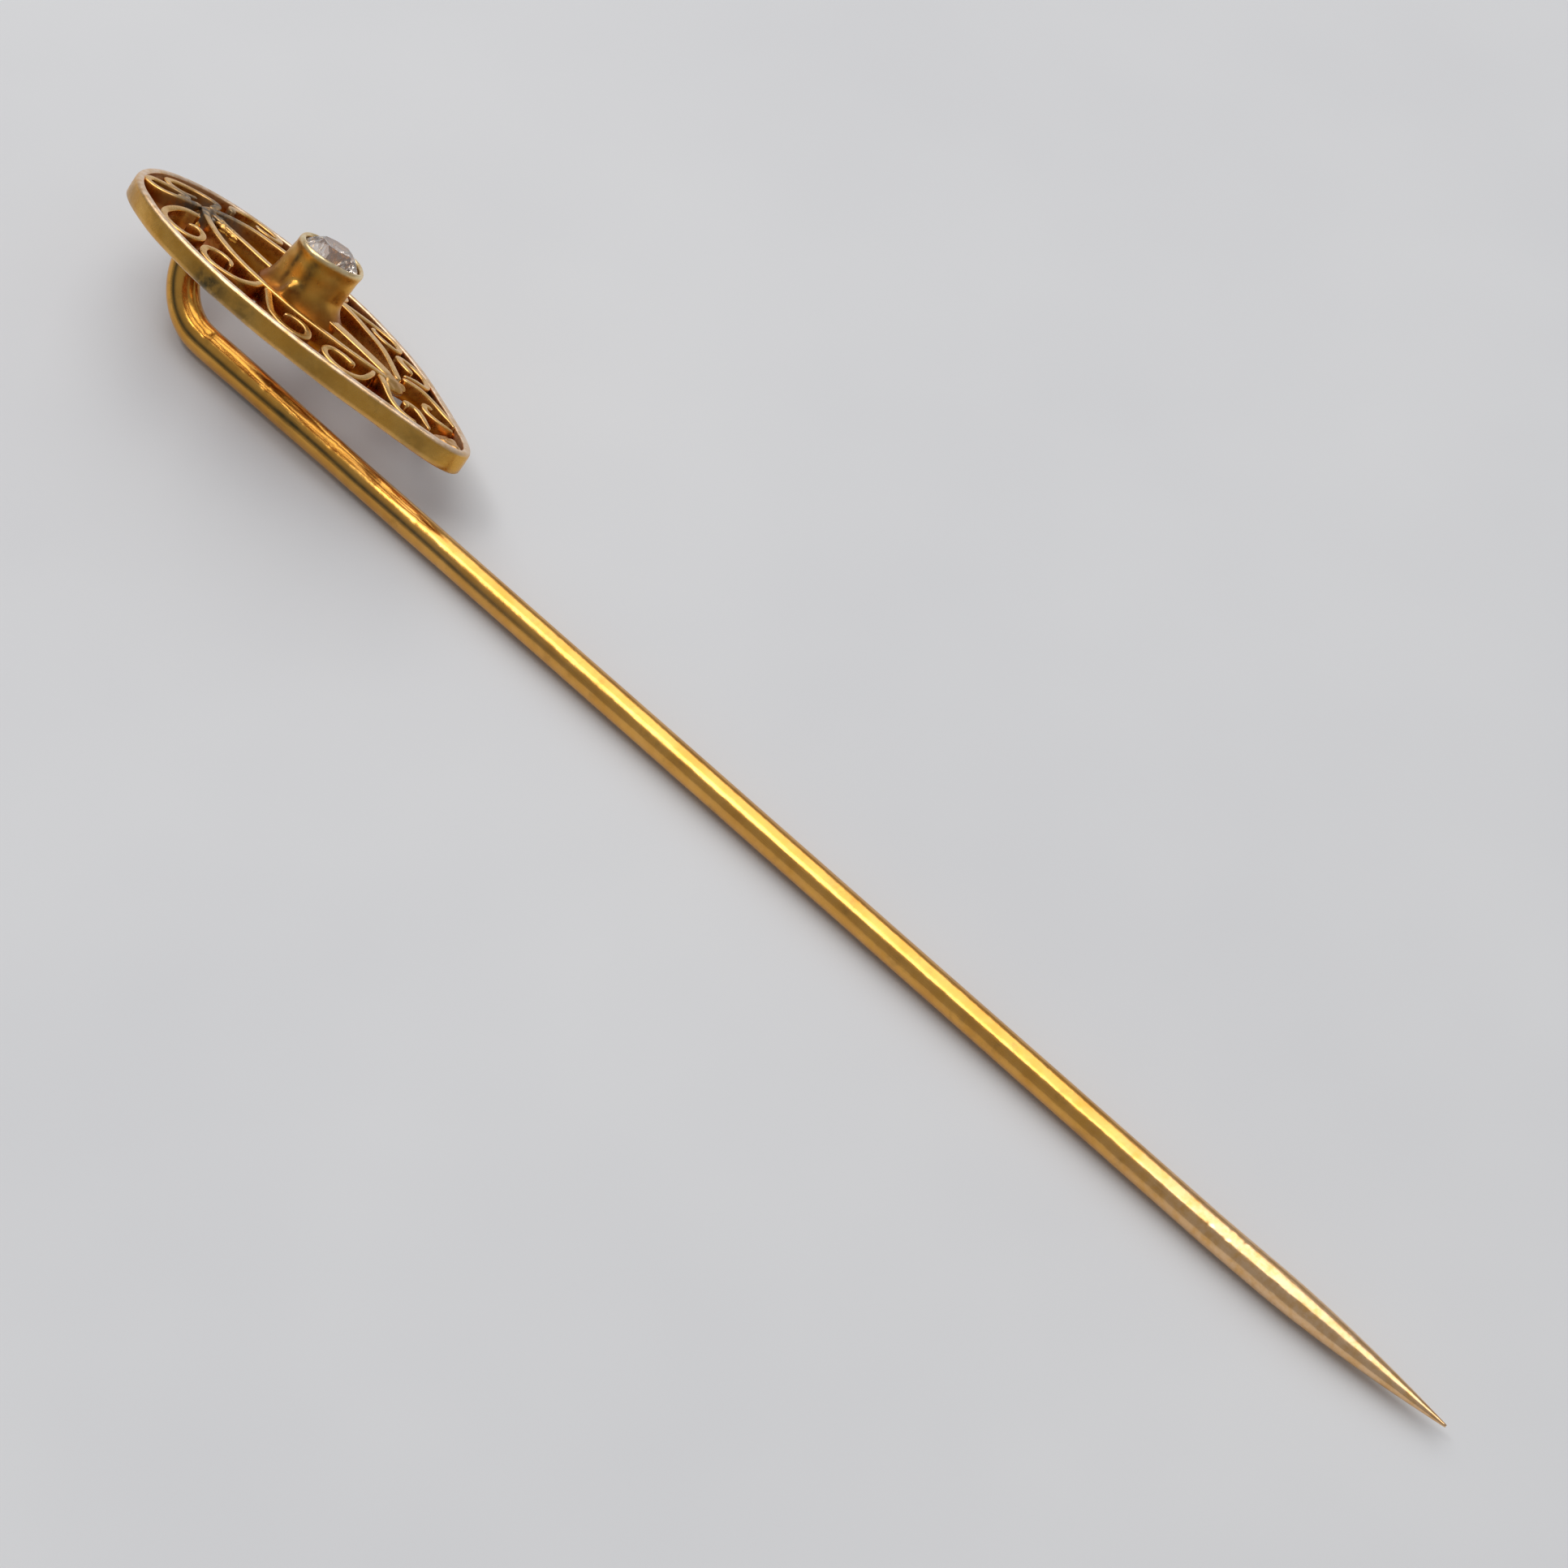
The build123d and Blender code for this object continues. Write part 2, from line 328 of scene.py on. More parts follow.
HOLLOW_SHADE = (0.38, 0.092, 0.003)
# the rim's near-white edge colour is worn gold and also a painted highlight of the window on its rounded
# top
RIM_GOLD = gold("rim_gold", (0.79, 0.44, 0.10), (0.68, 0.34, 0.055), HOLLOW_SHADE, (0.97, 0.77, 0.60),
                rough=0.27, dents=0.9, tarnish_share=0.30, steady=0.55, worn_rough=0.14)
WIRE_GOLD = gold("wire_gold", (0.79, 0.40, 0.07), (0.68, 0.30, 0.04), HOLLOW_SHADE, (0.88, 0.56, 0.22),
                 rough=0.27, dents=0.8, tarnish_share=0.35)
CUP_GOLD = gold("setting_gold", (0.86, 0.48, 0.10), (0.62, 0.33, 0.05), HOLLOW_SHADE, (0.95, 0.78, 0.48),
                rough=0.30, dents=0.7, grain=0.03, tarnish_share=0.4, steady=0.6)
STEM_GOLD = gold("stem_gold", (0.80, 0.41, 0.08), (0.68, 0.32, 0.05), HOLLOW_SHADE, (0.92, 0.62, 0.36),
                 rough=0.20, scratch=(0.08, 1.6, 1.6), dents=0.6, tarnish_share=0.35, steady=0.9)
STONE = clear_stone()


# ---- the shape of the head ----
# one half of the outline: share of the length, share of the half width
PEAR_HALF = ((0.054, 0.533), (0.205, 0.879), (0.423, 1.0), (0.655, 0.842), (0.853, 0.488),
             (0.976, 0.186))
pear = [(0.0, 0.0)]
pear += [(a * HEAD_LENGTH, b * HEAD_WIDTH / 2) for a, b in PEAR_HALF]
pear += [(HEAD_LENGTH, 0.0)]
pear += [(a * HEAD_LENGTH, -b * HEAD_WIDTH / 2) for a, b in PEAR_HALF[::-1]]
PEAR_LINE = curve_through(pear, 0.06, closed=True)


def half_width_at(u):
    upper = PEAR_LINE[PEAR_LINE[:, 1] >= 0]
    order = np.argsort(upper[:, 0])
    return np.interp(u, upper[order, 0], upper[order, 1])


def rise(u, w):
    """The head is slightly domed: the frame wires stand above the rim and the length droops."""
    u, w = np.asarray(u, float), np.abs(np.asarray(w, float))
    room = np.maximum(half_width_at(u) - 0.3, 0.2)
    crown = 0.20 * (1 - smoothstep(0.45, 1.0, w / room)) - 0.08 * (1 - smoothstep(0.0, 1.6, w))
    crown = crown * (1 - smoothstep(12.6, 15.0, u)) * smoothstep(0.6, 2.6, u)
    return crown - 0.0022 * (u - 7.5) ** 2 * smoothstep(7.5, 9.0, u)


def strip_section(half, height, crown):
    """Outline of a strip on edge: half thickness, full height, rounded upper edges."""
    r = min(half * 0.45, 0.055)
    top = [(half, -r)]
    top += [(half - r + r * cos(a), -r + r * sin(a)) for a in np.linspace(0, pi / 2, 6)[1:]]
    top += [(0.0, crown)]
    top += [(-half + r - r * sin(a), -r + r * cos(a)) for a in np.linspace(0, pi / 2, 6)]
    sides = [(-half, -height * k) for k in (0.35, 0.65)]
    low = [(-half, -height + 0.05), (-half + 0.05, -height), (half - 0.05, -height)]
    low += [(half, -height + 0.05)]
    back = [(half, -height * k) for k in (0.65, 0.35)]
    return np.array(top + sides + low + back)


def joint_grey(points, amount=1.0):
    """How near a head point is to the two grey joints of the frame."""
    fork = np.hypot(points[:, 0] - FORK_PLACE + 0.15, points[:, 1] * 0.72)
    tail = np.hypot(points[:, 0] - TAIL_PLACE, points[:, 1])
    near_fork = 1.2 * (1 - smoothstep(0.45, 1.85, fork))
    near_tail = 0.40 * (1 - smoothstep(0.2, 0.7, tail))
    return amount * np.clip(near_fork + near_tail, 0, 1)


def wire(name, path, nodes, seed, thickness=WIRE_THICKNESS, height=WIRE_HEIGHT, lift=0.0, bulb=0.0,
         taper=0.6):
    """A flat wire on edge along a path of the head, uneven as handwork is, with rounded ends.

    taper is the share of the thickness that is left at the last end.
    """
    line = curve_through(path, 0.045)
    side = directions(line)[:, ::-1] * (-1, 1)
    gone = np.concatenate([[0], np.cumsum(np.linalg.norm(np.diff(line, axis=0), axis=1))])
    left = gone[-1] - gone
    top = rise(line[:, 0], line[:, 1]) + lift
    rings = []
    wear_and_sheen = []
    hollow_shade = []
    for i, (point, across) in enumerate(zip(line, side)):
        uneven = 1 + 0.12 * wobble(gone[i] * 0.9, seed * 3.7, 0.0)
        half = thickness / 2 * uneven
        end = min(gone[i], left[i])
        half *= 1.0 + bulb * np.exp(-((left[i] - 0.12) / 0.12) ** 2)
        half *= 1.0 - (1 - taper) * np.exp(-left[i] / 0.5)
        round_off = min(1.0, 0.25 + 0.75 * (max(end, 0.0) / max(half, 1e-3)) ** 0.5)
        section = strip_section(half * round_off, height, 0.008)
        bend = 0.025 * wobble(gone[i] * 0.7, seed * 1.9, 5.0)
        low_end = 0.04 * (1 - round_off)
        n = section[:, 1] + top[i] + bend - low_end
        u = point[0] + across[0] * section[:, 0]
        w = point[1] + across[1] * section[:, 0]
        rings.append(np.column_stack([u, w, n]))
        wear_and_sheen.append(np.clip((section[:, 1] + 0.07) / 0.07, 0, 1))
        # painted shade: the lower sides of the wire darken toward the hollow colour
        hollow_shade.append(smoothstep(0.06, 0.42, -section[:, 1]))
    points = np.vstack(rings)
    faces = ring_faces(len(rings), len(rings[0]), False, True)
    piece = make_piece(name, from_head(points), faces, WIRE_GOLD,
                       np.concatenate(wear_and_sheen), joint_grey(points), np.concatenate(hollow_shade))
    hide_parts(*nodes)
    return piece


# where the rim wall has dulled: place along the head, spread, how much
RIM_STAINS = ((1.4, 0.8, 0.30), (7.0, 0.95, 1.0), (8.7, 0.55, 0.55), (11.6, 1.0, 0.30),
              (15.4, 0.6, 0.35))
FAR_WALL_STAIN = 0.45
RIM_OUTER_ROUND = 0.13
RIM_INNER_ROUND = 0.07


def make_rim():
    line = PEAR_LINE
    out = directions(line, closed=True)[:, ::-1] * (-1, 1)
    if np.sum(out[:, 0] * (line[:, 0] - HEAD_LENGTH / 2) + out[:, 1] * line[:, 1]) < 0:
        out = -out
    rings = []
    wear_and_sheen = []
    hollow_shade = []
    stain_and_shade = []
    for point, outward in zip(line, out):
        at_tip = float(smoothstep(9.0, HEAD_LENGTH, point[0]))
        height = RIM_HEIGHT * (1.0 + 0.10 * at_tip) + 0.022 * wobble(*(point * 0.6), 3.0)
        thick = RIM_THICKNESS * (0.88 + 0.14 * at_tip) * (1 + 0.12 * wobble(*(point * 0.8), 8.0))
        drop = float(rise(point[0], 9.0))
        lean_out = 0.018 * wobble(*(point * 0.5), 12.0)
        r = RIM_OUTER_ROUND
        section = [(0, -height + 0.06)]
        section += [(0, -height * share) for share in (0.75, 0.5, 0.3)]
        section += [(0, -r)]
        section += [(-r * (1 - cos(a)), -r + r * sin(a)) for a in np.linspace(0, pi / 2, 6)[1:]]
        section += [(-thick / 2, 0.008)]
        q = RIM_INNER_ROUND
        section += [(-thick + q - q * sin(a), -q + q * cos(a)) for a in np.linspace(0, pi / 2, 5)]
        section += [(-thick, -height * 0.4), (-thick, -height * 0.7), (-thick, -height + 0.05)]
        section += [(-thick + 0.05, -height), (-thick / 2, -height), (-0.06, -height)]
        section = np.array(section)
        belly = 0.015 * np.sin(np.clip(-section[:, 1] / height, 0, 1) * pi) * (section[:, 0] > -0.05)
        off = section[:, 0] + belly + lean_out
        rings.append(np.column_stack([point[0] + outward[0] * off, point[1] + outward[1] * off,
                                      section[:, 1] + drop]))
        # pale top edge: worn, and also a painted highlight where the rounded top catches the window; the
        # foot is worn
        top = np.clip((section[:, 1] + 0.13) / 0.12, 0, 1)
        foot = 0.5 * np.clip((-section[:, 1] - height + 0.08) / 0.08, 0, 1)
        wear_and_sheen.append(np.maximum(top, foot))
        # painted shade on the lower part of the inside wall
        inside = section[:, 0] < -thick * 0.75
        hollow_shade.append(inside * smoothstep(0.08, 0.35, -section[:, 1]))
        dark = sum(amount * np.exp(-((point[0] - u) / wide) ** 2) for u, wide, amount in RIM_STAINS)
        dark *= 1.0 if point[1] < 0 else FAR_WALL_STAIN
        stain_and_shade.append(dark * (section[:, 0] > -thick * 0.5) * smoothstep(0.06, 0.30, -section[:, 1]))
    points = np.vstack(rings)
    faces = ring_faces(len(rings), len(rings[0]), True, False)
    piece = make_piece("rim", from_head(points), faces, RIM_GOLD, np.concatenate(wear_and_sheen),
                       None, np.concatenate(hollow_shade), np.clip(np.concatenate(stain_and_shade), 0, 1))
    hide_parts("rim_band")


# ---- solder: lumps melted together ----
def melted(name, balls, material, nodes, voxel=0.045, smoothing=6, grey=1.0, wear_and_sheen=0.0,
           ragged=0.02, low_from=0.1):
    """Balls (u, w, n, radius, flatness) run into one another as solder does.

    low_from is how far below the plane of the head the painted shade of the hollows begins.
    """
    build = bpy.data.meshes.new(name + "_raw")
    shape = bmesh.new()
    for u, w, n, radius, flat in balls:
        turn = Matrix.Translation((u, w, n)) @ Matrix.Diagonal((radius, radius, radius * flat, 1))
        bmesh.ops.create_icosphere(shape, subdivisions=3, radius=1.0, matrix=turn)
    shape.to_mesh(build)
    shape.free()
    raw = bpy.data.objects.new(name + "_raw", build)
    bpy.context.scene.collection.objects.link(raw)
    remesh = raw.modifiers.new("run", "REMESH")
    remesh.mode = "VOXEL"
    remesh.voxel_size = voxel
    relax = raw.modifiers.new("relax", "SMOOTH")
    relax.iterations = smoothing
    relax.factor = 0.6
    found = bpy.data.meshes.new_from_object(raw.evaluated_get(bpy.context.evaluated_depsgraph_get()))
    points = np.array([v.co for v in found.vertices], float)
    normals = np.array([v.normal for v in found.vertices], float)
    faces = [tuple(f.vertices) for f in found.polygons]
    bpy.data.objects.remove(raw)
    points = points + normals * (ragged * wobbles(points, 3.2, 7.0))[:, None]
    # up-facing solder takes the pale edge colour: wear, and with rim gold also a painted sheen
    rubbed_and_sheen = np.clip(normals[:, 2], 0, 1) * wear_and_sheen
    shade = joint_grey(points, 1.0) * grey
    # painted shade: darker below the plane of the head
    hollow_shade = smoothstep(low_from, low_from + 0.4, -points[:, 2])
    piece = make_piece(name, from_head(points), faces, material, rubbed_and_sheen, shade, hollow_shade)
    if nodes:
        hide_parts(*nodes)
    return piece


def bridge(a, b, radius, flat=1.0, count=7):
    """A row of balls from one head point to another."""
    a, b = np.array(a, float), np.array(b, float)
    return [(*(a + (b - a) * k / (count - 1)), radius, flat) for k in range(count)]


# ---- the wires, each by the points where it was turned ----
def far(path):
    return [(u, w) for u, w in path]


def near(path):
    return [(u, -w) for u, w in path]


SCROLLS = {
    "scroll_1": ((3.50, 1.52), (3.12, 2.0), (3.0, 2.5), (3.13, 3.05), (3.5, 3.42), (4.1, 3.58),
                 (4.65, 3.42), (4.9, 3.0), (4.7, 2.6), (4.25, 2.45), (3.98, 2.68)),
    "scroll_2": ((7.52, 2.26), (7.58, 2.7), (7.35, 3.25), (6.85, 3.62), (6.2, 3.78), (5.65, 3.56),
                 (5.42, 3.1), (5.75, 2.72), (6.25, 2.70), (6.55, 2.98)),
    "scroll_3": ((7.8, 2.26), (8.15, 2.55), (8.65, 3.0), (9.15, 3.35), (9.8, 3.48), (10.35, 3.22),
                 (10.5, 2.85), (10.2, 2.5), (9.75, 2.42), (9.38, 2.6), (9.28, 2.83)),
    "scroll_4": ((12.1, 1.82), (11.55, 1.88), (11.15, 2.1), (11.1, 2.4), (11.4, 2.70), (12.0, 2.72),
                 (12.5, 2.42), (12.72, 2.0), (12.6, 1.4), (12.35, 0.95)),
    "tail": ((12.5, 0.72), (13.1, 1.12), (13.8, 1.42), (14.5, 1.42), (15.0, 1.22)),
    "tip_scroll": ((14.1, 0.82), (13.9, 0.6), (14.15, 0.34), (14.6, 0.38), (15.0, 0.58), (15.3, 0.74)),
}
FRAME_NEAR = ((2.62, 0.18), (3.3, 0.85), (4.4, 1.60), (5.6, 2.02), (6.9, 2.18), (8.3, 2.12),
              (9.8, 1.84), (11.3, 1.22), (12.6, 0.40))
FRAME_FAR = ((2.62, 0.18), (3.2, 0.92), (4.2, 1.68), (5.4, 2.08), (6.7, 2.20), (8.2, 2.06), (9.8, 1.74),
             (11.3, 1.12), (12.6, 0.38))
LYRE_NEAR = ((2.5, -0.3), (2.42, -1.1), (2.1, -1.6), (1.5, -1.8), (1.0, -1.75), (0.85, -1.35),
             (1.1, -0.95), (1.5, -0.6), (1.95, -0.5), (2.15, -0.8), (1.98, -1.12))
LYRE_FAR = ((2.5, 0.35), (2.25, 1.0), (1.5, 1.05), (1.0, 0.7), (0.72, 0.25), (0.68, -0.2), (1.1, -0.40),
            (1.5, -0.3), (1.85, 0.25))
FIRST_SCROLL_SHIFT = -0.85
FIRST_SCROLL_SQUEEZE = 0.93

for place, (title, path) in enumerate(SCROLLS.items()):
    for side_place, (side_name, turn) in enumerate((("far", far), ("near", near))):
        points = turn(path)
        if title == "scroll_1" and side_name == "far":
            points = [(u + FIRST_SCROLL_SHIFT, w * FIRST_SCROLL_SQUEEZE) for u, w in points]
        seed = place * 2 + side_place + 1
        wire(f"{title}_{side_name}_wire", points, [f"{title}_{side_name}"], seed,
             bulb=0.05, taper=0.42)
wire("frame_far_wire", far(FRAME_FAR), ["frame_far"], 21, thickness=0.31, lift=0.02, taper=0.9)
wire("frame_near_wire", near(FRAME_NEAR), ["frame_near"], 22, thickness=0.31, lift=0.02, taper=0.9)
wire("lyre_near_wire", LYRE_NEAR, ["lyre_near"], 23, bulb=0.05, taper=0.45)
wire("lyre_far_wire", LYRE_FAR, ["lyre_far"], 24, bulb=0.05, taper=0.45, lift=-0.03)
wire("upper_spine_wire", ((2.9, 0.0), (4.0, 0.03), (5.3, -0.02), (6.6, 0.0)), ["upper_spine"], 25,
     thickness=0.34, taper=1.0)
wire("lower_spine_wire", ((8.95, 0.0), (10.2, 0.0), (11.4, 0.02), (12.5, 0.0)), ["lower_spine"], 26,
     thickness=0.54, lift=0.03, taper=0.9)
make_rim()

melted("fork_joint", [
    (2.72, 0.0, -0.08, 0.40, 0.62), (2.5, 0.38, -0.14, 0.24, 0.9), (2.46, -0.42, -0.14, 0.24, 0.9),
    (3.0, -0.42, -0.12, 0.22, 0.9), (3.0, 0.42, -0.12, 0.22, 0.9), (3.15, 0.0, -0.06, 0.20, 0.9),
    (2.42, -0.85, -0.16, 0.17, 1.0), (2.75, 0.0, -0.42, 0.48, 0.8),
    (2.60, 0.70, -0.20, 0.24, 0.7), (2.78, -0.62, -0.20, 0.24, 0.7),
], WIRE_GOLD, ["fork_solder"], grey=1.0, ragged=0.05)
melted("tail_joint", [
    (12.52, 0.0, -0.10, 0.46, 0.42), (12.30, 0.36, -0.14, 0.26, 0.7), (12.30, -0.36, -0.14, 0.26, 0.7),
    (12.82, 0.34, -0.16, 0.26, 0.6), (12.82, -0.34, -0.16, 0.26, 0.6), (12.95, 0.0, -0.18, 0.28, 0.6),
    (12.55, 0.0, -0.34, 0.40, 0.8),
], WIRE_GOLD, ["tail_solder"], smoothing=10, grey=0.9, wear_and_sheen=0.6, ragged=0.03)


def ripple(start, end, count, turn):
    """Balls close together, swelling and thinning, so that they melt into low waves."""
    balls = []
    for k in range(count):
        u = start + (end - start) * k / (count - 1)
        swell = 0.185 + 0.035 * sin(turn * k)
        balls.append((u, 0.05 * sin(0.5 * turn * k), -0.05, swell, 0.85))
    return balls


melted("spine_bead_1", ripple(3.34, 3.80, 9, 1.55), WIRE_GOLD, ["bead_1"],
       voxel=0.03, smoothing=4, grey=0.2, wear_and_sheen=0.8)
melted("spine_bead_2", ripple(3.90, 4.46, 11, 1.75), WIRE_GOLD, ["bead_2"],
       voxel=0.03, smoothing=4, grey=0.0, wear_and_sheen=0.8)

tip_low = float(rise(15.8, 0.0))
tip_balls = bridge((15.45, 0.34, tip_low - 0.34), (15.45, -0.34, tip_low - 0.34), 0.24, 0.9, 6)
tip_balls += bridge((15.75, 0.24, tip_low - 0.26), (16.2, 0.0, tip_low - 0.24), 0.24, 0.9, 5)
tip_balls += bridge((15.75, -0.24, tip_low - 0.26), (16.25, 0.0, tip_low - 0.24), 0.22, 0.9, 5)
melted("tip_fill", tip_balls, RIM_GOLD, ["tip_solder"],
       smoothing=10, grey=0.0, wear_and_sheen=0.2, ragged=0.04)


# small fillets of solder where a scroll meets the rim, the frame or its neighbour
def touch_points():
    found = []
    for title in ("scroll_1", "scroll_2", "scroll_3", "scroll_4"):
        path = SCROLLS[title]
        widest = max(path, key=lambda p: p[1] - half_width_at(p[0]))
        found.append((title + "_rim", widest))
        found.append((title + "_frame", path[-1] if title == "scroll_4" else path[0]))
    found.append(("tail_rim", SCROLLS["tail"][-1]))
    return found


for title, (u, w) in touch_points():
    for side_name, sign in (("far", 1), ("near", -1)):
        if title.startswith("scroll_1") and side_name == "far":
            u_at, w_at = u + FIRST_SCROLL_SHIFT, w * FIRST_SCROLL_SQUEEZE
        else:
            u_at, w_at = u, w
        reach = 0.16 if title.endswith("rim") else -0.02
        n_at = float(rise(u_at, w_at)) - 0.46
        melted(f"fillet_{title}_{side_name}",
               [(u_at, sign * w_at, n_at, 0.16, 1.7),
                (u_at + 0.08, sign * (w_at + reach), n_at - 0.02, 0.14, 1.7)],
               WIRE_GOLD, [], voxel=0.05, smoothing=3, grey=0.3, wear_and_sheen=0.2, ragged=0.04)


# ---- the setting ----
def squared(angle, power):
    """Radius share of a rounded square whose corners lie along and across the head."""
    a = angle - pi / 4
    return (abs(cos(a)) ** power + abs(sin(a)) ** power) ** (-1 / power) * 0.968


# painted dark reflection bands upright on the wall, where its squared faces reflect dark surroundings:
# angle in degrees from the narrow tip, spread, how much
WALL_REFLECTION_BANDS = ((-108, 7, 0.9), (-74, 9, 0.85), (-30, 12, 0.35), (60, 10, 0.5), (150, 14, 0.5))
# solder run down the near wall: angle in degrees, height, spread round in radians, spread up,
# how far it stands out
DRIPS = ((-84, 0.50, 0.15, 0.15, 0.24), (-86, 0.26, 0.19, 0.20, 0.28), (-90, 0.0, 0.28, 0.16, 0.28))
OUTSIDE_FROM = 1.19
SPREAD_TO_ROUND_END = 0.42
SPREAD_TO_TIP = 0.55
CUP_STEPS = 160
CUP_SQUARENESS = 2.55


def spread_at(angle, n):
    """How far the outside of the setting stands out beyond its profile."""
    spread = SPREAD_TO_ROUND_END * max(0.0, 1 - n / 1.95) ** 0.9 * max(0.0, -cos(angle)) ** 1.6
    spread += SPREAD_TO_TIP * max(0.0, 1 - (n + 0.2) / 0.9) ** 2 * max(0.0, cos(angle)) ** 4
    for turn, height, wide, tall, depth in DRIPS:
        off = (angle - radians(turn) + pi) % (2 * pi) - pi
        spread += depth * exp(-(off / wide) ** 2 - ((n - height) / tall) ** 2)
    return spread


def reflection_bands_at(angle, n):
    """How dark the outside of the setting's wall is painted by the upright reflection bands."""
    reflection_bands = 0.0
    for turn, wide, amount in WALL_REFLECTION_BANDS:
        off = (angle - radians(turn) + pi) % (2 * pi) - pi
        reflection_bands += amount * exp(-(off / radians(wide)) ** 2)
    return reflection_bands * float(smoothstep(0.1, 0.5, n) * (1 - smoothstep(1.60, 1.76, n)))


def lathe(name, profile, steps, material, nodes, power, wear_of):
    """A wall standing on the head: squared, uneven, and spreading along the head low down."""
    rings = []
    wear_and_sheen = []
    low = []
    stain_and_shade = []
    for k in range(steps):
        angle = 2 * pi * k / steps
        for radius, n in profile:
            share = float(smoothstep(0.0, 1.2, n))
            square = 1 + (squared(angle, power) - 1) * share
            uneven = 1 + 0.012 * wobble(cos(angle) * 1.3, sin(angle) * 1.3, n * 0.9)
            uneven += 0.014 * wobble(cos(angle) * 2.6 + 3.0, sin(angle) * 2.6, n * 0.25)
            outside = radius > OUTSIDE_FROM
            r = radius * square * uneven + (spread_at(angle, n) if outside else 0.0)
            rings.append((SETTING_PLACE + r * cos(angle), r * sin(angle), n))
            wear_and_sheen.append(wear_of(radius, n))
            # painted shade: darker toward the foot of the setting and inside the cup under the stone
            low.append(0.85 * (1 - float(smoothstep(-0.1, 0.95, n))))
            # darker towards the foot of the setting, in the tarnish colour
            darker_low = 0.6 * (1 - float(smoothstep(0.05, 0.60, n)))
            # painted dark reflection bands on the outside of the wall
            stain_and_shade.append(min((reflection_bands_at(angle, n) if outside else 0.0) + darker_low, 1.0))
    size = len(profile)
    faces = ring_faces(steps, size, True, False)
    piece = make_piece(name, from_head(rings), faces, material, wear_and_sheen, None, low, stain_and_shade)
    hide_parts(*nodes)
    return piece


# up the inside, over the lip and down the outside to the foot: radius, height
cup_profile = [(0.80, 0.05), (0.80, 0.9), (0.95, 1.38), (1.06, 1.66), (1.10, 1.80), (1.115, 1.90),
               (1.15, 1.955), (1.20, 1.97), (1.25, 1.95), (1.285, 1.89), (1.29, 1.80), (1.27, 1.70),
               (1.25, 1.55), (1.24, 1.30), (1.225, 1.0), (1.22, 0.75), (1.23, 0.55), (1.25, 0.38),
               (1.30, 0.20), (1.37, 0.05), (1.44, -0.06), (1.46, -0.14), (1.30, -0.18), (1.0, -0.18)]
cup_profile = [tuple(point) for point in curve_through(cup_profile, 0.06)]


def cup_wear(radius, n):
    return float(smoothstep(1.74, 1.92, n)) * (1.0 if radius > 1.12 else 0.5)


lathe("collet", cup_profile, CUP_STEPS, CUP_GOLD, ["setting_cup"], CUP_SQUARENESS,
      cup_wear)

FOOT_RING = 1.22
FOOT_BALLS = 28
foot_balls = []
for k in range(FOOT_BALLS):
    angle = 2 * pi * k / FOOT_BALLS
    place = SETTING_PLACE + FOOT_RING * cos(angle)
    foot_balls.append((place, FOOT_RING * sin(angle), -0.34, 0.27, 1.0))


def spur(a, b, from_radius, to_radius, count=9):
    """Solder drawn out from the wall of the setting along a wire, thinning as it goes."""
    a, b = np.array(a, float), np.array(b, float)
    balls = []
    for k in range(count):
        t = k / (count - 1)
        balls.append((*(a + (b - a) * t), from_radius + (to_radius - from_radius) * t ** 0.7, 1.0))
    return balls


foot_balls += spur((6.70, 0.0, 0.0), (5.95, 0.0, -0.14), 0.30, 0.17)
foot_balls += spur((9.35, 0.0, -0.16), (10.15, 0.0, -0.20), 0.32, 0.22)
melted("collet_foot", foot_balls, CUP_GOLD, ["setting_foot"],
       voxel=0.04, smoothing=12, grey=0.0, wear_and_sheen=0.1, ragged=0.012, low_from=-0.35)


def make_stone():
    """Old mine cut: eight mains, stars and halves above the girdle, mains and culet below."""
    table_r, girdle_r, culet_r = 0.60, 1.085, 0.10
    girdle_n, table_n, culet_n = 1.86, 2.27, 0.92
    mid_r = 0.87
    mid_n = table_n - (mid_r * cos(pi / 8) - table_r) * (table_n - girdle_n) / (girdle_r - table_r)
    low_r = 0.30
    points = []

    def ring(count, radius, n, shift=0.0):
        first = len(points)
        for k in range(count):
            angle = 2 * pi * k / count + shift
            square = 1 + 0.045 * cos(4 * angle)
            points.append((SETTING_PLACE + radius * square * cos(angle), radius * square * sin(angle), n))
        return [first + k for k in range(count)]

    table = ring(8, table_r, table_n)
    mids = ring(8, mid_r, mid_n, pi / 8)
    girdle = ring(16, girdle_r, girdle_n)
    under = ring(16, girdle_r, girdle_n - 0.05)
    lows = ring(8, low_r, girdle_n - 0.05 - (girdle_r - low_r) * 0.86, pi / 8)
    culet = ring(8, culet_r, culet_n)
    faces = [tuple(table)]
    for k in range(8):
        m, g = (k + 1) % 8, 2 * k
        faces.append((table[k], mids[k], table[m]))
        faces.append((table[k], mids[k - 1], girdle[g]))
        faces.append((table[k], girdle[g], mids[k]))
        faces.append((mids[k], girdle[g], girdle[g + 1]))
        faces.append((mids[k], girdle[g + 1], girdle[(g + 2) % 16]))
        faces.append((under[g], lows[k], under[g + 1]))
        faces.append((under[g + 1], lows[k], under[(g + 2) % 16]))
        faces.append((under[g], lows[k - 1], culet[k]))
        faces.append((under[g], culet[k], lows[k]))
        faces.append((lows[k], culet[k], culet[m]))
    for k in range(16):
        m = (k + 1) % 16
        faces.append((girdle[k], under[k], under[m], girdle[m]))
    faces.append(tuple(culet[::-1]))
    piece = make_piece("old_cut_stone", from_head(points), faces, STONE, smooth=False)
    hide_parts("stone")


make_stone()


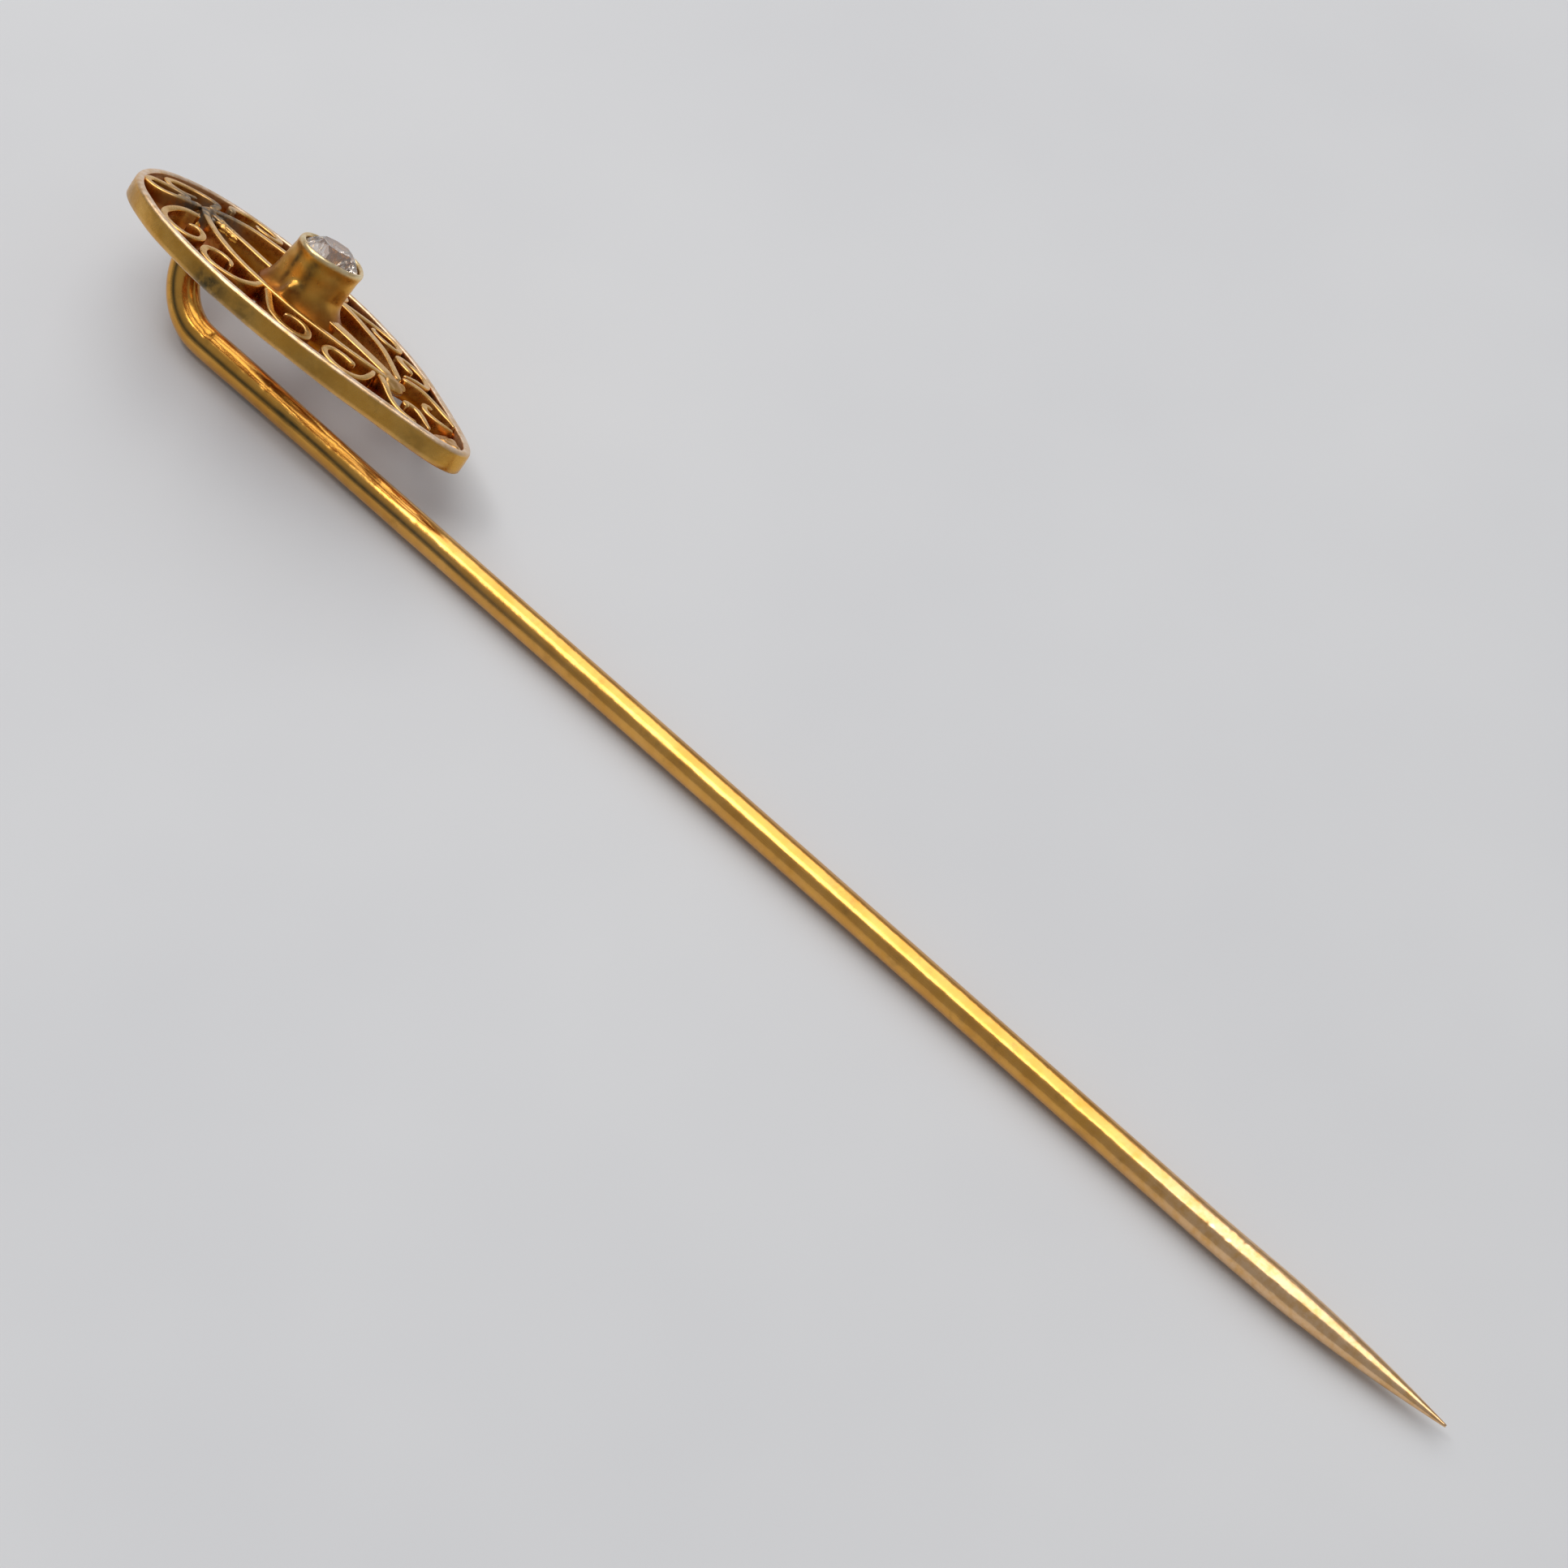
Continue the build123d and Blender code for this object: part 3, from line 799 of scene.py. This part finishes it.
# ---- the stem ----
def stem_path():
    """Centre line in the row frame: root behind the fork, bend, and the long straight run."""
    up = np.array((0.0, sin(LEAN), cos(LEAN)))
    base = np.array((START_X, AXIS_Y, AXIS_Z))
    root = STEM_DROP - BEND_START * HEAD_PITCH - 0.35
    points = [base + (BEND_START, 0, 0) + up * n for n in np.linspace(root, BEND_RADIUS, 6)]
    for a in np.linspace(0, pi / 2, 9)[1:]:
        x = BEND_START + BEND_RADIUS * (1 - cos(a))
        points.append(base + (x, 0, 0) + up * BEND_RADIUS * (1 - sin(a)))
    for x in np.linspace(BEND_START + BEND_RADIUS, PIN_LENGTH, 40)[1:]:
        points.append(base + (x, 0, 0))
    return points


# where the stem is nicked: place along it, angle round it, length, depth as a share of the radius
NICKS = ((5.6, 2.3, 0.14, 0.05), (8.8, 2.35, 0.10, 0.03), (12.3, 2.3, 0.10, 0.025),
         (16.6, 2.5, 0.12, 0.02), (53.9, 2.6, 0.07, 0.035), (54.6, 2.4, 0.08, 0.040),
         (55.2, 2.2, 0.06, 0.035), (56.8, 3.4, 0.09, 0.04))
STEM_SIDES = 72
# millimetres along the stem over which the rough hammering, the painted shade line and the pale point
# change; the pale point is worn gold and partly a painted highlight
ROUGH_ENDS = (10.0, 19.0)
SHADE_LINE_ENDS = (17.0, 29.0)
PALE_POINT = (48.0, 56.0)
# the painted shade line on the stem's shaded lower side: its angle round the stem and its spread, in
# radians
SHADE_LINE_TURN = 3.15
SHADE_LINE_WIDTH = 0.15


def nicked(x, angle):
    """What share of the radius the nicks take at a place on the stem."""
    lost = 0.0
    for place, turn, length, depth in NICKS:
        off = (angle - turn + pi) % (2 * pi) - pi
        lost += depth * np.exp(-((x - place) / length) ** 2 - (off / 0.40) ** 2)
    return float(lost)


def make_stem():
    line = curve_through(stem_path(), 0.08)
    heading = directions(line)
    count = STEM_SIDES
    rings = []
    wear_and_sheen = []
    stain_and_shade = []
    side = np.array((0.0, cos(LEAN), -sin(LEAN)))
    for point, ahead in zip(line, heading):
        x = point[0] - START_X
        up = np.cross(ahead, side)
        up /= np.linalg.norm(up)
        places = (0, 6, NECK_END, PIN_LENGTH)
        radius = float(np.interp(x, places, (NECK_RADIUS, NECK_RADIUS, STEM_RADIUS, STEM_RADIUS)))
        share = np.clip((x - (PIN_LENGTH - POINT_LENGTH)) / POINT_LENGTH, 0, 1)
        turned = np.clip((x - (PIN_LENGTH - 1.4 * POINT_LENGTH)) / (1.4 * POINT_LENGTH), 0, 1)
        radius *= 1 - (1 - POINT_RADIUS / STEM_RADIUS) * share ** 1.7
        rough_hand = 1 - float(smoothstep(*ROUGH_ENDS, x))
        still = 1.0 - float(share)
        filed = np.array((0.0, POINT_OFFSET, 0.0)) * float(turned) ** 1.3
        shade_line_place = SHADE_LINE_TURN + 0.12 * wobble(x * 0.22, 2.0)
        for k in range(count):
            angle = 2 * pi * k / count
            hammer = wobble(x * 0.40, cos(angle) * 1.2 + 4.0, sin(angle) * 1.2)
            hammer *= 0.003 + 0.018 * rough_hand
            hammer += wobble(x * 1.3, cos(angle) * 1.8, sin(angle) * 1.8 + 2.0) * 0.007 * rough_hand
            long_wave = 0.012 * wobble(x * 0.07, cos(angle) * 0.8, sin(angle) * 0.8 + 9.0)
            flats = 0.004 * cos(7 * angle + 0.12 * x)
            r = radius * (1 + (hammer + long_wave + flats) * still - nicked(x, angle))
            rings.append(point + filed + side * r * cos(angle) + up * r * sin(angle))
            # the point is paler: worn, and also a painted highlight
            wear_and_sheen.append(0.10 * (1 - rough_hand) + 0.80 * float(smoothstep(*PALE_POINT, x)))
            # painted shade: a dark line along the stem's shaded lower side, fading out past the neck
            off = (angle - shade_line_place + pi) % (2 * pi) - pi
            shade_line = float(np.exp(-(off / SHADE_LINE_WIDTH) ** 2))
            shade_line *= 1 - float(smoothstep(*SHADE_LINE_ENDS, x))
            # dark patches near the bend: dirt, and painted shade under the head
            dirt_and_shade_patches = float(smoothstep(0.05, 0.35, wobble(x * 0.32, cos(angle) * 1.1, 6.0)))
            dirt_and_shade_patches *= 0.45 * rough_hand
            stain_and_shade.append(min(shade_line + dirt_and_shade_patches, 1.0))
    faces = ring_faces(len(line), count, False, True)
    piece = make_piece("stem_wire", rings, faces, STEM_GOLD, wear_and_sheen, None, None, stain_and_shade)
    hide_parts("stem")


make_stem()

# ---- floor, light and camera ----
floor_mesh = bpy.data.meshes.new("floor")
FLOOR_REACH = 1.2
corners = [(x * FLOOR_REACH, y * FLOOR_REACH, 0) for x, y in ((-1, -1), (1, -1), (1, 1), (-1, 1))]
floor_mesh.from_pydata(corners, [], [(0, 1, 2, 3)])
floor_mesh.materials.append(plain_floor())
floor = bpy.data.objects.new("floor", floor_mesh)
bpy.context.scene.collection.objects.link(floor)


def soft_light(name, place, size, power, colour=(1.0, 1.0, 1.0)):
    data = bpy.data.lights.new(name, "AREA")
    data.shape = "RECTANGLE"
    data.size, data.size_y = size
    data.energy = power
    data.color = colour
    light = bpy.data.objects.new(name, data)
    light.location = place
    light.rotation_euler = (-Vector(place)).to_track_quat("-Z", "Y").to_euler()
    bpy.context.scene.collection.objects.link(light)


soft_light("window", (-0.215, 0.165, 0.485), (0.60, 0.80), 2.50, (1.0, 0.985, 0.965))
soft_light("window_core", (-0.215, -0.09, 0.495), (0.20, 0.12), 0.26)

world = bpy.data.worlds.new("room")
world.use_nodes = True
ROOM_COLOUR = (0.62, 0.63, 0.66, 1)
ROOM_STRENGTH = 0.50
background = world.node_tree.nodes["Background"]
background.inputs["Color"].default_value = ROOM_COLOUR
background.inputs["Strength"].default_value = ROOM_STRENGTH
bpy.context.scene.world = world

CAMERA_PLACE = (61.004, -80.065, 125.228)
CAMERA_ANGLES = (38.277, -6.755, 45.400)
CAMERA_LENS = 110.19
camera_data = bpy.data.cameras.new("camera")
camera_data.lens = CAMERA_LENS
camera_data.sensor_width = 36.0
camera_data.clip_start = 0.005
camera = bpy.data.objects.new("camera", camera_data)
camera.location = [c * MM for c in CAMERA_PLACE]
camera.rotation_euler = [radians(a) for a in CAMERA_ANGLES]
bpy.context.scene.collection.objects.link(camera)
bpy.context.scene.camera = camera
bpy.context.scene.view_settings.view_transform = "Standard"
